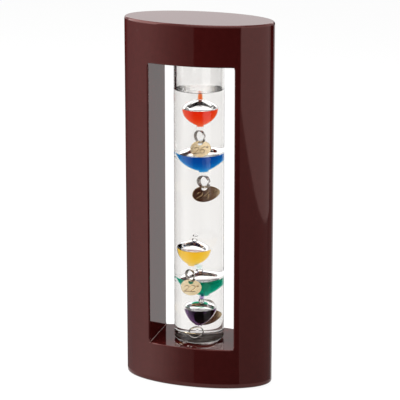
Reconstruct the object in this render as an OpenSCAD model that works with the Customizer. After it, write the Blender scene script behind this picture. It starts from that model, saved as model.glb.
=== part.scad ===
// Float thermometer: a sealed, liquid-filled glass tube that stands in an oval
// wooden frame. Five glass floats hang in the liquid. Each float is a hollow
// bulb with a coloured fill, and carries a split ring and a brass tag.
// Millimetres. Z points up and the frame stands on Z = 0, centred on the Z axis.

/* [Wooden frame] */
// Width of the oval, end to end
frame_w = 90; // [80:0.5:110]
// Depth of the oval, front to back
frame_d = 42.4; // [39:0.2:60]
// Height of the wood, without the felt under it
frame_h = 220; // [215:1:260]
// Thickness of the base block
base_h = 24.5; // [20:0.5:34]
// Thickness of the top block
top_h = 24.6; // [21:0.2:34]
// Clear width of the window between the posts
window_w = 51.6; // [44:0.2:56]
// Rounding of the wood's top and bottom edges
edge_r = 1.4; // [0.5:0.1:3]
// Thickness of the felt under the base
felt_t = 0.8; // [0.5:0.1:2]
// How far the felt stays inside the wood's edge
felt_inset = 3; // [2:0.5:6]

/* [Dowels] */
// Diameter of a dowel
dowel_d = 6; // [4:0.5:8]
// Length of a dowel
dowel_len = 20; // [12:1:30]
// Distance of a dowel from the frame's centre line, left or right
dowel_x = 32; // [31:0.5:34]
// Distance of a dowel from the middle plane, front or back
dowel_y = 7; // [5:0.5:8]
// Radial clearance round a dowel
dowel_gap = 0.05; // [0.02:0.01:0.2]
// Spare depth past the end of a dowel
dowel_spare = 0.5; // [0.2:0.1:1.5]

/* [Glass tube] */
// Outer diameter of the tube
tube_d = 29.8; // [29:0.2:32]
// Wall of the tube
tube_wall = 1.3; // [0.8:0.1:1.5]
// Thickness of the tube's flat bottom
tube_floor_t = 1.5; // [1:0.1:1.8]
// Outer rounding where the wall meets the bottom
heel_r = 1.6; // [1:0.1:2.5]
// How far the tube's shoulder reaches into the top block
tube_embed = 8; // [6:0.5:10]
// Height of the tube's dome above its shoulder
tube_dome_h = 7; // [5:0.5:8]
// Diameter of the sealed nipple on the dome
nipple_d = 4; // [3:0.2:6]
// Height of the sealed nipple
nipple_h = 2.5; // [1.5:0.1:4]
// Clearance between the tube and its bore in the top block
bore_gap = 1; // [0.6:0.1:1.5]
// Spare depth of the bore above the nipple
bore_spare = 1; // [0.5:0.1:2]
// Thickness of the clear pad under the tube
pad_t = 0.5; // [0.3:0.1:1]
// Diameter of the clear pad under the tube
pad_d = 22; // [16:1:25]
// Height of the foam collar round the tube's top
collar_h = 6; // [4:0.5:7]
// Clearance of the foam collar on both sides
collar_gap = 0.1; // [0.05:0.05:0.3]

/* [Float bulbs] */
// Widest diameter of a bulb, as a share of the tube's inside
bulb_share = 0.595; // [0.55:0.005:0.6]
// Height of the dome above the widest line
dome_h = 4.8; // [4:0.1:5.5]
// Depth of the bowl below the widest line
bowl_h = 10.2; // [9.5:0.1:10.6]
// Wall of a bulb
bulb_wall = 0.6; // [0.4:0.05:0.9]
// Thickness of the solid nub at the bowl's bottom
nub_t = 1.4; // [1:0.1:2]
// Diameter of the nub
nub_d = 2.2; // [1.8:0.1:2.8]
// Diameter of the sealed neck at its foot
neck_d = 2.9; // [2.4:0.1:3.2]
// Height of the sealed neck above the dome
neck_h = 5.3; // [4:0.1:5.6]
// Gap between a coloured fill and its bulb
fill_gap = 0.05; // [0.02:0.01:0.15]
// How far a fill's level lies below the widest line
fill_drop = 0.3; // [0:0.1:2]

/* [Hooks, rings and tags] */
// Thickness of the glass rod of a hook
hook_rod = 0.9; // [0.7:0.05:1]
// Diameter of the hole in a hook
hook_hole_d = 2.6; // [2.2:0.1:2.8]
// Outer diameter of a split ring
ring_d = 7.8; // [7.4:0.1:8]
// Thickness of a split ring's wire, measured outwards
ring_wire = 0.6; // [0.5:0.05:0.7]
// Width of both turns of a split ring together
ring_w = 1.2; // [0.9:0.1:1.3]
// Gap between the two turns of a split ring
ring_slit = 0.1; // [0.06:0.02:0.2]
// Diameter of a tag
tag_d = 10; // [9:0.1:10.2]
// Thickness of a tag
tag_t = 0.4; // [0.3:0.05:0.5]
// Diameter of a tag's hole
tag_hole_d = 2.4; // [2.3:0.1:2.6]
// Brass left between a tag's hole and its edge
tag_margin = 0.5; // [0.4:0.1:1]
// Play of a ring in its hook
ring_play = 0.3; // [0.25:0.05:0.5]
// Play of a tag on its ring
tag_play = 0.4; // [0.35:0.05:0.5]

/* [Rest places] */
// Float 26: X and Y, where 1 is the way to the tube's wall, and height of its widest line
spot_26 = [0.27, -0.64, 168.1]; // [-200:0.01:200]
// Float 24: X and Y, where 1 is the way to the tube's wall, and height of its widest line
spot_24 = [-0.13, 0.93, 139]; // [-200:0.01:200]
// Float 22: X and Y, where 1 is the way to the tube's wall, and height of its widest line
spot_22 = [-0.27, -0.8, 82.7]; // [-200:0.01:200]
// Float 20: X and Y, where 1 is the way to the tube's wall, and height of its widest line
spot_20 = [-0.11, 0.94, 62]; // [-200:0.01:200]
// Float 18: X and Y, where 1 is the way to the tube's wall, and height of its widest line
spot_18 = [0.31, -0.74, 45.8]; // [-200:0.01:200]
// Float 26: its lean, its ring's turn, swing and rise in the hook
hang_26 = [0, -39, 0, 0]; // [-90:0.5:90]
// Float 24: its lean, its ring's turn, swing and rise in the hook
hang_24 = [-5, -42, 0, 0]; // [-90:0.5:90]
// Float 22: its lean, its ring's turn, swing and rise in the hook
hang_22 = [6, -49, 0, 0]; // [-90:0.5:90]
// Float 20: its lean, its ring's turn, swing and rise in the hook
hang_20 = [-6, -14, 0, 0]; // [-90:0.5:90]
// Float 18: its lean, its ring's turn, swing and rise in the hook
hang_18 = [5.5, -11, -35, 1.2]; // [-90:0.5:90]
// Tag of float 26: its turn, how flat it lies and its place round the ring
lie_26 = [37, 0, 0]; // [-90:1:90]
// Tag of float 24: its turn, how flat it lies and its place round the ring
lie_24 = [47, 0, 0]; // [-90:1:90]
// Tag of float 22: its turn, how flat it lies and its place round the ring
lie_22 = [16, 0, 0]; // [-90:1:90]
// Tag of float 20: its turn, how flat it lies and its place round the ring
lie_20 = [49, 0, 0]; // [-90:1:90]
// Tag of float 18: its turn, how flat it lies and its place round the ring
lie_18 = [-4, 73, -75]; // [-90:1:90]

/* [View] */
// Piece to draw, or all

/* [Hidden] */

// smoothness of the large and the small round pieces
large_fn = 60;
small_fn = 24;

// compass direction in which a positive lean goes
lean_dir = 16;

// heights of the frame's parts
sill_z = felt_t + base_h;
head_z = felt_t + frame_h - top_h;
top_z = felt_t + frame_h;
post_h = head_z - sill_z;

// the tube, from its foot to its nipple
tube_z = sill_z + pad_t;
shoulder_h = head_z + tube_embed - tube_z;
tube_top = shoulder_h + tube_dome_h + nipple_h;
bore_d = tube_d + 2 * bore_gap;
bore_depth = tube_embed + tube_dome_h + nipple_h + bore_spare;

// a bulb's width, and how far its axis can stand from the tube's axis
bulb_d = bulb_share * (tube_d - 2 * tube_wall);
bulb_room = tube_d / 2 - tube_wall - bulb_d / 2;

// exponents that give the bowl its turnip shape and the dome its flat crown
bowl_power = 1.7;
bowl_root = 0.8;
dome_power = 2;
dome_root = 0.6;
// how softly the dome runs into the neck
neck_blend = 3;
// the neck's top, as a share of its foot
neck_taper = 0.8;
bowl_steps = 8;
dome_steps = 6;

// the hook under a bulb
hook_r = hook_hole_d / 2 + hook_rod / 2;
// how deep the hook's rod is fused into the nub
hook_fuse = 0.4;
hook_z = hook_fuse - bowl_h - hook_hole_d / 2 - hook_rod;

// radii of a split ring, and where it hangs below its hook's centre
ring_ro = ring_d / 2;
ring_ri = ring_ro - ring_wire;
ring_rm = (ring_ro + ring_ri) / 2;
ring_fall = ring_ri + hook_hole_d / 2 - ring_play;
// angle that joins the two turns, and the gap at each free end
ring_bridge = 24;
ring_end = 10;

// a tag's hole, from the tag's centre and below the middle of the ring's wire
tag_hole_x = tag_d / 2 - tag_margin - tag_hole_d / 2;
tag_sag = tag_hole_d / 2 - tag_play - ring_wire / 2;

wood = [0.36, 0.1, 0.09];
clear = [0.85, 0.92, 0.95, 0.35];
steel = [0.75, 0.75, 0.78];
brass = [0.86, 0.73, 0.45];

// ---- outlines ----

// quarter arc from angle a to b round a centre
function arc(cx, cy, r, a, b, n = 4) =
  [for (i = [0:n]) [cx + r * cos(a + (b - a) * i / n), cy + r * sin(a + (b - a) * i / n)]];

// radius of the bowl at depth d, for a bowl of radius r and depth h
function bowl_at(d, r, h) = r * pow(1 - pow(d / h, bowl_power), bowl_root);

// radius of the dome at height z, for a dome of radius r and height h
function dome_at(z, r, h) = r * pow(1 - pow(z / h, dome_power), dome_root);

// the dome with its neck blended in
function crown_at(z) =
  pow(pow(dome_at(z, bulb_d / 2, dome_h), neck_blend) + pow(neck_d / 2, neck_blend), 1 / neck_blend);

// even steps of an angle keep the steps short where the outline turns in
function bowl_line(r, h, least) =
  [for (i = [0:bowl_steps]) let (d = h * sin(90 * (bowl_steps - i) / bowl_steps))
    [max(least, bowl_at(min(d, h), r, h)), -d]];

function dome_line(r, h) =
  [for (i = [1:dome_steps]) let (z = h * sin(90 * i / dome_steps)) [dome_at(min(z, h), r, h), z]];

function crown_line() =
  [for (i = [1:dome_steps]) let (z = dome_h * sin(90 * i / dome_steps)) [crown_at(min(z, dome_h)), z]];

// ---- directions ----

function turn_z(p, a) = [p[0] * cos(a) - p[1] * sin(a), p[0] * sin(a) + p[1] * cos(a), p[2]];
function turn_x(p, a) = [p[0], p[1] * cos(a) - p[2] * sin(a), p[1] * sin(a) + p[2] * cos(a)];
function turn_y(p, a) = [p[0] * cos(a) + p[2] * sin(a), p[1], p[2] * cos(a) - p[0] * sin(a)];

// middle of a bulb's widest line
function rim_at(spot) = [spot[0] * bulb_room, spot[1] * bulb_room, spot[2]];

// centre of a float's hook
function hook_at(spot, hang) = rim_at(spot) + turn_z(turn_y([0, 0, hook_z], hang[0]), lean_dir);

// centre of a tag's hole, at its place round the ring
function hole_at(spot, hang, lie) =
  hook_at(spot, hang)
  + turn_z(turn_x([ring_rm * sin(lie[2]), 0,
    hang[3] - ring_fall - ring_rm * cos(lie[2])], hang[2]), hang[1])
  - [0, 0, tag_sag * cos(lie[1])];

// ---- wooden frame ----

// a stretch of the oval between two heights, from the outline of its edge
module oval(z0, z1, edge) {
  translate([0, 0, z0])
    scale([1, frame_d / frame_w, 1])
      rotate_extrude($fn = large_fn)
        polygon(concat([[0, 0]], edge, [[0, z1 - z0]]));
}

// one cylinder for each dowel at a height, with a clearance and some spare depth
module dowels(z, gap, spare) {
  for (x = [-dowel_x, dowel_x], y = [-dowel_y, dowel_y])
    translate([x, y, z - dowel_len / 2 - spare])
      cylinder(d = dowel_d + 2 * gap, h = dowel_len + 2 * spare, $fn = small_fn);
}

module base_block() {
  color(wood)
    difference() {
      oval(felt_t, sill_z, concat(arc(frame_w / 2 - edge_r, edge_r, edge_r, -90, 0),
        [[frame_w / 2, base_h]]));
      dowels(sill_z, dowel_gap, dowel_spare);
    }
}

module top_block() {
  color(wood)
    difference() {
      oval(head_z, top_z, concat([[frame_w / 2, 0]],
        arc(frame_w / 2 - edge_r, top_h - edge_r, edge_r, 0, 90)));
      dowels(head_z, dowel_gap, dowel_spare);
      translate([0, 0, head_z - bore_depth])
        cylinder(d = bore_d, h = 2 * bore_depth, $fn = large_fn);
    }
}

// the end of the oval beyond the window, on the side that the sign gives
module post(side) {
  color(wood)
    difference() {
      intersection() {
        oval(sill_z, head_z, [[frame_w / 2, 0], [frame_w / 2, post_h]]);
        translate([side * (frame_w / 2 + window_w / 2), 0, frame_h / 2])
          cube([frame_w, 2 * frame_d, 2 * frame_h], center = true);
      }
      dowels(sill_z, dowel_gap, dowel_spare);
      dowels(head_z, dowel_gap, dowel_spare);
    }
}

module post_dowels() {
  color([0.8, 0.66, 0.46])
    for (z = [sill_z, head_z])
      dowels(z, 0, 0);
}

module base_felt() {
  color([0.1, 0.1, 0.1])
    linear_extrude(felt_t)
      polygon([for (i = [0:large_fn - 1]) let (a = 360 * i / large_fn)
        [(frame_w / 2 - felt_inset) * cos(a), (frame_d / 2 - felt_inset) * sin(a)]]);
}

// ---- glass tube ----

// outer outline of the tube, or its inner one when drawn in by t
function tube_line(t, floor_t) = let (r = tube_d / 2 - t, heel = heel_r - t / 2, crown = tube_dome_h - t)
  concat([[0, floor_t]], arc(r - heel, floor_t + heel, heel, -90, 0),
    [for (i = [0:5]) [r * cos(15 * i), shoulder_h + crown * sin(15 * i)]]);

module glass_tube() {
  color(clear)
    translate([0, 0, tube_z])
      difference() {
        rotate_extrude($fn = large_fn)
          polygon(concat(tube_line(0, 0),
            [[nipple_d / 2, tube_top - nipple_h / 2], [nipple_d / 4, tube_top], [0, tube_top]]));
        rotate_extrude($fn = large_fn)
          polygon(concat(tube_line(tube_wall, tube_floor_t),
            [[0, shoulder_h + tube_dome_h - tube_wall]]));
      }
}

module tube_pad() {
  color(clear)
    translate([0, 0, sill_z])
      cylinder(d = pad_d, h = pad_t, $fn = small_fn);
}

module tube_collar() {
  color([0.15, 0.15, 0.15])
    translate([0, 0, head_z + collar_gap])
      difference() {
        cylinder(d = bore_d - 2 * collar_gap, h = collar_h, $fn = large_fn);
        translate([0, 0, -collar_h])
          cylinder(d = tube_d + 2 * collar_gap, h = 3 * collar_h, $fn = large_fn);
      }
}

// ---- floats ----

// moves a float from its own widest line to its rest place, with its lean
module at_spot(spot, hang) {
  translate(rim_at(spot))
    rotate([0, 0, lean_dir])
      rotate([0, hang[0], 0])
        children();
}

// the room inside a bulb, drawn in by a gap
module room(gap) {
  r = bulb_d / 2 - bulb_wall - gap;
  rotate_extrude($fn = small_fn)
    polygon(concat([[0, nub_t + gap - bowl_h]], bowl_line(r, bowl_h - nub_t - gap, 0.3),
      dome_line(r, dome_h - bulb_wall - gap)));
}

// hollow bulb with its nub, its sealed neck and the hook under it
module bulb(spot, hang) {
  color(clear)
    at_spot(spot, hang) {
      difference() {
        rotate_extrude($fn = small_fn)
          polygon(concat([[0, -bowl_h]], bowl_line(bulb_d / 2, bowl_h, nub_d / 2), crown_line(),
            [[neck_d / 2 * neck_taper, dome_h + neck_h * 0.8],
             [neck_d / 2 * neck_taper * 0.7, dome_h + neck_h * 0.95],
             [neck_d / 2 * neck_taper * 0.3, dome_h + neck_h],
             [0, dome_h + neck_h]]));
        room(0);
      }
      rotate([0, 0, hang[1] - lean_dir])
        hook();
    }
}

// loop of glass rod, square to the ring that hangs in it
module hook() {
  translate([0, 0, hook_z])
    rotate([0, 90, 0])
      rotate_extrude($fn = small_fn)
        translate([hook_r, 0])
          circle(d = hook_rod, $fn = small_fn / 2 + 1);
}

// coloured fill, level with the ground whatever the float's lean
module fill(spot, hang, tint) {
  color(tint)
    intersection() {
      at_spot(spot, hang)
        room(fill_gap);
      translate(rim_at(spot) - [bulb_d, bulb_d, 2 * bulb_d + fill_drop])
        cube(2 * bulb_d);
    }
}

// split ring: two flat turns joined over a short bridge
module ring(spot, hang) {
  color(steel)
    translate(hook_at(spot, hang))
      rotate([0, 0, hang[1]])
        rotate([hang[2], 0, 0])
          translate([0, 0, hang[3] - ring_fall])
            rotate([90, 0, 0])
              difference() {
                band(-ring_w / 2, ring_w / 2, 0, 360, 0);
                band(-ring_slit / 2, ring_slit / 2, ring_bridge / 2, 360 - ring_bridge / 2, ring_wire / 2);
                band(0, ring_w, ring_bridge / 2 - 1, ring_bridge / 2 + ring_end, ring_wire);
                band(-ring_w, 0, -ring_bridge / 2 - ring_end, 1 - ring_bridge / 2, ring_wire);
              }
}

// flat band round the ring's axis, from height z0 to z1 and angle a to b
module band(z0, z1, a, b, slack) {
  rotate([0, 0, a])
    rotate_extrude(angle = b - a, $fn = small_fn)
      translate([ring_ri - slack, z0])
        square([ring_wire + 2 * slack, z1 - z0]);
}

// round brass tag with its hole
module tag(spot, hang, lie) {
  color(brass)
    translate(hole_at(spot, hang, lie))
      rotate([0, 0, lie[0]])
        rotate([lie[1], 0, 0])
          rotate([90, 0, 0])
            difference() {
              translate([0, -tag_hole_x, -tag_t / 2])
                cylinder(d = tag_d, h = tag_t, $fn = small_fn);
              translate([0, 0, -tag_t])
                cylinder(d = tag_hole_d, h = 2 * tag_t, $fn = small_fn);
            }
}

// ---- the pieces ----

base_block();
post(-1);  // left_post
post(1);  // right_post
top_block();
post_dowels();
base_felt();
tube_pad();
tube_collar();
glass_tube();

bulb(spot_26, hang_26);  // bulb_26
fill(spot_26, hang_26, [0.86, 0.2, 0.08]);  // fill_26
ring(spot_26, hang_26);  // ring_26
tag(spot_26, hang_26, lie_26);  // tag_26

bulb(spot_24, hang_24);  // bulb_24
fill(spot_24, hang_24, [0.05, 0.3, 0.65]);  // fill_24
ring(spot_24, hang_24);  // ring_24
tag(spot_24, hang_24, lie_24);  // tag_24

bulb(spot_22, hang_22);  // bulb_22
fill(spot_22, hang_22, [0.95, 0.72, 0.2]);  // fill_22
ring(spot_22, hang_22);  // ring_22
tag(spot_22, hang_22, lie_22);  // tag_22

bulb(spot_20, hang_20);  // bulb_20
fill(spot_20, hang_20, [0, 0.55, 0.45]);  // fill_20
ring(spot_20, hang_20);  // ring_20
tag(spot_20, hang_20, lie_20);  // tag_20

bulb(spot_18, hang_18);  // bulb_18
fill(spot_18, hang_18, [0.18, 0.1, 0.25]);  // fill_18
ring(spot_18, hang_18);  // ring_18
tag(spot_18, hang_18, lie_18);  // tag_18
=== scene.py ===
"""Float thermometer: a sealed glass tube of clear liquid that stands in an oval lacquered frame.

Five glass floats hang in the liquid. Each has a coloured fill, a glass hook, a split ring
and a brass tag. Sizes are named in millimetres and MM turns them into metres.
"""
import math

import bmesh
import bpy
from mathutils import Matrix, Vector


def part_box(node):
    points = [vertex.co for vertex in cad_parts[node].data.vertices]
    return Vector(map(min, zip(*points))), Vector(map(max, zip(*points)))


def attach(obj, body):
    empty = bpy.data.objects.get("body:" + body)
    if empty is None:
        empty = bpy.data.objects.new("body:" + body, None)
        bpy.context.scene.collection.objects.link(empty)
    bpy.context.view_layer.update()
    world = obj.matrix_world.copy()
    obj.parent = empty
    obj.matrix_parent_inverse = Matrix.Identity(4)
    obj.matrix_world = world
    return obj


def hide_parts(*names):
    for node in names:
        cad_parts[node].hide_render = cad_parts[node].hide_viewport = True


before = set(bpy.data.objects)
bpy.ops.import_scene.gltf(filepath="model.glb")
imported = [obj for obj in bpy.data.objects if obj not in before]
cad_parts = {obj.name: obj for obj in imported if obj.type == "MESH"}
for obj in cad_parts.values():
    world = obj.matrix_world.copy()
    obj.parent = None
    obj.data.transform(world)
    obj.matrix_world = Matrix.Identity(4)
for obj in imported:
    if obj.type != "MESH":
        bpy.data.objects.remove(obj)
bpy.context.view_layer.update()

MM = 0.001

# faces round what is turned: the tube, its bore, bulbs and discs, small bores and drops, dowels
tube_steps, bore_steps, disc_steps, small_steps, dowel_steps = 192, 128, 96, 48, 32
# how near is near enough: a corner to the axis, a corner to a cut, and a stroke's two ends
axis_near, cut_near, ends_near = 1e-7, 1e-8, 1e-6

# slow waves: between what levels of the noise their mask goes from none to full
waves_from, waves_to = 0.3, 0.7
# fine specks: the noise's detail, how far from its middle a speck starts and is full, and how
# high the ground between the specks rises against them
speck_detail, speck_edge, speck_core, speck_ground = 3, 0.28, 0.08, 0.5

# wooden frame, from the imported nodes
base_low, base_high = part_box("base_block")
head_low, head_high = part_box("top_block")
half_w, half_d = base_high.x, base_high.y
foot_z, sill_z, head_z, top_z = base_low.z, base_high.z, head_low.z, head_high.z
window = -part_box("left_post")[1].x
rim_round = 1.4 * MM
window_round = 0.8 * MM
corner_run = 2 * MM
corner_turn = math.acos(window / half_w)
# a narrow row of faces beside each rounding, which keeps the flat beside it flat
support = 0.4 * MM
end_steps, face_steps, rim_steps, run_steps = 90, 72, 6, 6
merge = 0.001 * MM

# bores of the dowels
dowel_r, dowel_deep = 3.05 * MM, 10.5 * MM
dowel_x, dowel_y = 32 * MM, 7 * MM

# pale bead along the joint, whose colour is a painted highlight: its radius, how much that wavers
# and how fast, and how far it stops short
bead_r, bead_waver, bead_waves, bead_short = 0.2 * MM, 0.25, 900, 0.4 * MM
bead_sides, bead_steps = 12, 40

# glass tube: its radius, wall and floor, the rounding of its heel, how deep its shoulder sits in
# the top block and how high its dome is, then the sealed nipple, the bore round the tube, the
# tint of the glass and the softened edge of the pad
tube_r, tube_wall, tube_floor = 14.9 * MM, 1.3 * MM, 1.5 * MM
tube_inner = tube_r - tube_wall
heel_r = 1.6 * MM
tube_foot, tube_top = (corner.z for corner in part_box("glass_tube"))
tube_embed, tube_dome = 8 * MM, 7 * MM
shoulder_z = head_z + tube_embed
nipple_r, nipple_h, nipple_steps = 2 * MM, 2.5 * MM, 6
bore_gap, bore_deep = 1 * MM, 18.5 * MM
bore_r = tube_r + bore_gap
tube_tint = (0.84, 0.825, 0.805)
pad_soft, pad_steps = 0.12 * MM, 4

# clear liquid: its level, how high and over what way it creeps up the wall, and the thin gap
# that keeps it off the glass
liquid_z = 178.5 * MM
creep, creep_run = 1.0 * MM, 0.9 * MM
wet_z = liquid_z + creep
film = 0.02 * MM
surface_steps = 24
# how far the middle of a face may lie on the wrong side of a level, and how much the face has
# to look up or down, for it to count as part of the surface there
level_slack = 0.01 * MM
liquid_facing, dye_facing, drop_facing = 0.05, 0.3, 0.6

# bulb: its radius, its room in the tube, its wall, the depth of its bowl and its flat foot
bulb_r = 0.595 * tube_inner
bulb_room = tube_inner - bulb_r
bulb_wall = 0.22 * MM
bowl_h = 10.6 * MM
foot_r = 1.9 * MM
# hook: how far it is fused in above its root, and how far its root is under the widest line
hook_fuse, hook_root = 0.4 * MM, 10.2 * MM
# neck: its radius, where it starts to narrow and where it ends, by what share it narrows, the
# power that blends it with the dome, how far over the dome it starts to be plain, and the height
# of its round tip as a share of its radius
neck_r, neck_foot, tip_z = 1.45 * MM, 6 * MM, 10.1 * MM
neck_taper, neck_blend, neck_start, tip_share = 0.22, 3, 0.3 * MM, 0.8
bowl_steps, dome_steps, tip_steps = 30, 26, 8
# dye in the bulb: its gap to the glass, how far its level is under the widest line, how high and
# over what way it creeps up the glass, and the rings of its surface as shares of its radius
fill_gap, fill_drop = 0.03 * MM, 0.3 * MM
fill_creep, fill_run = 0.35 * MM, 0.45 * MM
creep_shares = (0.985, 0.965, 0.94, 0.905, 0.86, 0.78, 0.6, 0.3)
# dye in the neck: how hollow its ends are, their rings, and how far from its ends the neck's own
# line is kept
drop_sag, drop_shares = 0.3 * MM, (0.0, 0.3, 0.6, 0.8, 0.93)
drop_above, drop_below = 0.05 * MM, 0.02 * MM
# floats lean in a plane that is turned so much from the frame's face
lean_way = math.radians(16)

# hook and ring: radii of the rod and its hole, the play of ring and tag, then the ring's radius,
# how thick its wire is, how wide each of its two turns is and how far apart they lie
hook_rod, hook_hole = 0.45 * MM, 1.3 * MM
rod_sides, loop_steps = 12, 40
hook_z = hook_fuse - hook_root - hook_hole - 2 * hook_rod
ring_play, tag_play = 0.3 * MM, 0.4 * MM
ring_r, ring_wire, ring_turn = 3.6 * MM, 0.6 * MM, 0.55 * MM
ring_step, ring_corner, corner_steps = 0.65 * MM, 0.16 * MM, 3
ring_fall = ring_r - ring_wire / 2 + hook_hole - ring_play
# degrees round the ring: where the wire's ends stop, where its turns cross over and how slowly
wire_start, wire_end, wire_steps = 22, 338, 150
cross_start, cross_run = 346, 28
# tag: its radius, thickness and hole, the brass between hole and edge, and its softened edge
tag_r, tag_t, tag_hole = 5 * MM, 0.4 * MM, 1.2 * MM
tag_margin, tag_soft, tag_steps = 0.5 * MM, 0.08 * MM, 6
tag_hole_y = tag_r - tag_margin - tag_hole
tag_sag = tag_hole - tag_play - ring_wire / 2

# each float in mm and degrees. spot: X and Y as a share of the way to the wall, and the height
# of its widest line. hang: its lean, and the ring's turn, swing and rise. lie: the tag's turn,
# how flat it lies and its place round the ring. neck_dye: lower and upper end of the dye that
# stays in its neck. blown: how wide the bulb was blown. bowl: the two powers of its curve.
# dome: its height and the two powers of its curve.
FLOATS = {
    "26": dict(spot=(0.27, -0.64, 168.1), hang=(0, -39, 0, 0), lie=(37, 0, 0), dye="orange",
               neck_dye=(6.1, 9.9), blown=1.06, bowl=(2.3, 0.78), dome=(6.2, 1.7, 0.72)),
    "24": dict(spot=(-0.13, 0.93, 139), hang=(-5, -42, 0, 0), lie=(47, 0, 0), dye="blue",
               neck_dye=(7.4, 9.9), blown=1.0, bowl=(2.3, 0.78), dome=(5.8, 1.8, 0.7)),
    "22": dict(spot=(-0.27, -0.8, 82.7), hang=(6, -49, 0, 0), lie=(16, 0, 0), dye="yellow",
               neck_dye=(7.2, 8.3), blown=1.03, bowl=(2.3, 0.78), dome=(5.8, 1.7, 0.64)),
    "20": dict(spot=(-0.11, 0.94, 62), hang=(-6, -14, 0, 0), lie=(49, 0, 0), dye="green",
               neck_dye=(6.9, 9.9), blown=1.0, bowl=(2.3, 0.78), dome=(5.8, 1.8, 0.65)),
    "18": dict(spot=(0.31, -0.74, 45.8), hang=(5.5, -11, -35, 1.2), lie=(-4, 73, -75), dye="purple",
               neck_dye=(6.1, 9.9), blown=1.0, bowl=(1.35, 0.56), dome=(4.8, 2.0, 0.5)),
}

# refraction of the liquid, its top layer, the dyes and the glass
n_liquid, n_top, n_dye, n_glass = 1.44, 1.25, 1.41, 1.46

# camera: lens and sensor in mm, place and aim in metres, and its turn from the front to the
# right in degrees
lens_mm, sensor_mm = 187.43, 36
camera_place = Vector((0.32446, -1.14302, 0.44885))
camera_aim = Vector((0.000484, 0.000137, 0.111254))
view_turn = 15.85

# studio: levels of the floor's paint, its glow and the room, where 1 is white
floor_paint, floor_glow, room_grey = 0.12, 0.93, 0.25
# in metres: the floor's half width and height, and the height of the cards that lie on it
floor_half, floor_z, card_z = 3.0, -0.00002, 0.0005
# fans on the floor: three reaches from the frame in metres, and their step in degrees
fan_near, fan_far, fan_end, fan_step = 0.008, 1.0, 1.7, 4
# strip for the window's inner wall: its two ends and half width in metres, and its level
strip_near, strip_far, strip_half, strip_level = 0.06, 1.6, 0.06, 0.73


# shared shader effects

def group_sockets(group, inputs, outputs):
    """Adds named sockets to a node group and returns its input and output nodes."""
    for name, value in inputs:
        socket = group.interface.new_socket(name, in_out="INPUT", socket_type="NodeSocketFloat")
        socket.default_value = value
    for name in outputs:
        group.interface.new_socket(name, in_out="OUTPUT", socket_type="NodeSocketFloat")
    return group.nodes.new("NodeGroupInput"), group.nodes.new("NodeGroupOutput")


def make_slow_waves():
    """Slow unevenness of a poured, blown or rolled surface: a height and a soft mask."""
    group = bpy.data.node_groups.new("slow_waves", "ShaderNodeTree")
    given, out = group_sockets(
        group, [("Waves per metre", 200.0), ("Detail", 2.0), ("Swirl", 0.4)], ["Height", "Mask"])
    place = group.nodes.new("ShaderNodeTexCoord")
    noise = group.nodes.new("ShaderNodeTexNoise")
    soften = group.nodes.new("ShaderNodeMapRange")
    soften.interpolation_type = "SMOOTHSTEP"
    soften.inputs["From Min"].default_value = waves_from
    soften.inputs["From Max"].default_value = waves_to
    link = group.links.new
    link(place.outputs["Object"], noise.inputs["Vector"])
    link(given.outputs["Waves per metre"], noise.inputs["Scale"])
    link(given.outputs["Detail"], noise.inputs["Detail"])
    link(given.outputs["Swirl"], noise.inputs["Distortion"])
    link(noise.outputs["Fac"], soften.inputs["Value"])
    link(noise.outputs["Fac"], out.inputs["Height"])
    link(soften.outputs["Result"], out.inputs["Mask"])
    return group


def make_fine_specks():
    """Dust nibs, pores and small marks: a mask of separate spots and their height."""
    group = bpy.data.node_groups.new("fine_specks", "ShaderNodeTree")
    given, out = group_sockets(
        group, [("Specks per metre", 900.0), ("Share", 0.3)], ["Mask", "Height"])
    place = group.nodes.new("ShaderNodeTexCoord")
    cells = group.nodes.new("ShaderNodeTexVoronoi")
    noise = group.nodes.new("ShaderNodeTexNoise")
    noise.inputs["Detail"].default_value = speck_detail
    near = group.nodes.new("ShaderNodeMapRange")
    near.inputs["From Min"].default_value = speck_edge
    near.inputs["From Max"].default_value = speck_core
    some = group.nodes.new("ShaderNodeMath")
    some.operation = "LESS_THAN"
    both = group.nodes.new("ShaderNodeMath")
    both.operation = "MULTIPLY"
    rise = group.nodes.new("ShaderNodeMath")
    rise.operation = "MULTIPLY_ADD"
    rise.inputs[1].default_value = speck_ground
    split = group.nodes.new("ShaderNodeSeparateColor")
    link = group.links.new
    link(place.outputs["Object"], cells.inputs["Vector"])
    link(place.outputs["Object"], noise.inputs["Vector"])
    link(given.outputs["Specks per metre"], cells.inputs["Scale"])
    link(given.outputs["Specks per metre"], noise.inputs["Scale"])
    link(cells.outputs["Distance"], near.inputs["Value"])
    link(cells.outputs["Color"], split.inputs["Color"])
    link(split.outputs["Red"], some.inputs[0])
    link(given.outputs["Share"], some.inputs[1])
    link(near.outputs["Result"], both.inputs[0])
    link(some.outputs["Value"], both.inputs[1])
    link(noise.outputs["Fac"], rise.inputs[0])
    link(both.outputs["Value"], rise.inputs[2])
    link(both.outputs["Value"], out.inputs["Mask"])
    link(rise.outputs["Value"], out.inputs["Height"])
    return group


slow_waves = make_slow_waves()
fine_specks = make_fine_specks()


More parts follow.
